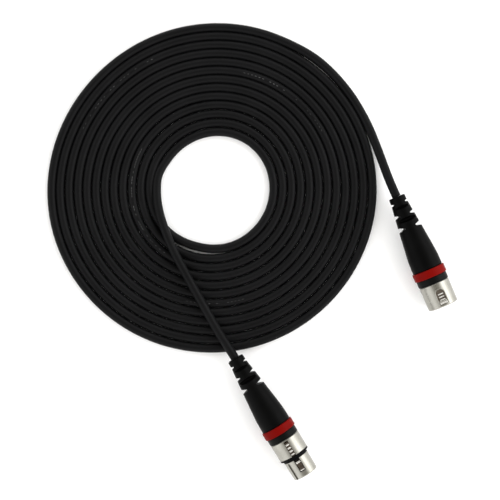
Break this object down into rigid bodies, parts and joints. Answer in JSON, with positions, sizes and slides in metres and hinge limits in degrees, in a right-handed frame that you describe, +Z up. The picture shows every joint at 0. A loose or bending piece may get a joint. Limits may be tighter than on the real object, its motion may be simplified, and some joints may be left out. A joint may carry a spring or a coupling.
{
  "type": "xlr cable coil",
  "caption": "Microphone cable wound into a flat single-layer spiral, with a male and a female XLR plug on its ends, red colour rings and a sprung push latch.",
  "frame": {"origin": "centre of the coil, on the surface that it lies on", "axes": "+Z up from the surface, through the coil's centre; +Y away from the plugs, in the coil's plane; +X towards the male plug's side"},
  "size_m": [0.2539, 0.2836, 0.0207],
  "materials": {
    "jacket": "matt extruded cable jacket, slightly silky",
    "boot": "matt moulded rubber",
    "colour_ring": "satin moulded plastic",
    "collar": "satin moulded plastic",
    "nickel": "satin nickel plating",
    "insulator": "moulded insulator",
    "contact": "gold-plated brass",
    "gasket": "matt soft ring",
    "latch_metal": "bright plated metal",
    "spring_steel": "spring strip",
    "clamp": "natural moulded plastic",
    "wire_shield": "sleeved drain wire",
    "wire_hot": "insulated wire",
    "wire_cold": "insulated wire"
  },
  "bodies": {
    "cable_and_plugs": {"cable_coil": "jacket", "cable_tail_male": "jacket", "cable_tail_female": "jacket", "male_boot": "boot", "male_colour_ring": "colour_ring", "male_collar": "collar", "male_cable_clamp": "clamp", "male_cable_end": "jacket", "male_wire_1": "wire_shield", "male_wire_2": "wire_hot", "male_wire_3": "wire_cold", "male_shell": "nickel", "male_insert": "insulator", "female_boot": "boot", "female_colour_ring": "colour_ring", "female_collar": "collar", "female_cable_clamp": "clamp", "female_cable_end": "jacket", "female_wire_1": "wire_shield", "female_wire_2": "wire_hot", "female_wire_3": "wire_cold", "female_shell": "nickel", "female_insert": "insulator", "male_ground_tab": "contact", "male_pin_1": "contact", "male_pin_2": "contact", "male_pin_3": "contact", "female_nose": "nickel", "female_gasket": "gasket", "female_latch_pin": "latch_metal", "female_latch_spring": "spring_steel", "female_socket_1": "contact", "female_socket_2": "contact", "female_socket_3": "contact"},
    "latch": {"female_latch": "latch_metal"}
  },
  "joints": [
    {"name": "latch_press", "type": "hinge", "parent": "cable_and_plugs", "child": "latch", "pos_m": [0.04496, -0.15677, 0.01625], "axis": [0.8526, 0.5225, 0], "range_deg": [0, 3.5], "stiffness_Nm_per_rad": 0.3, "springref_deg": -2.86, "deforming": ["female_latch_spring"]}
  ]
}
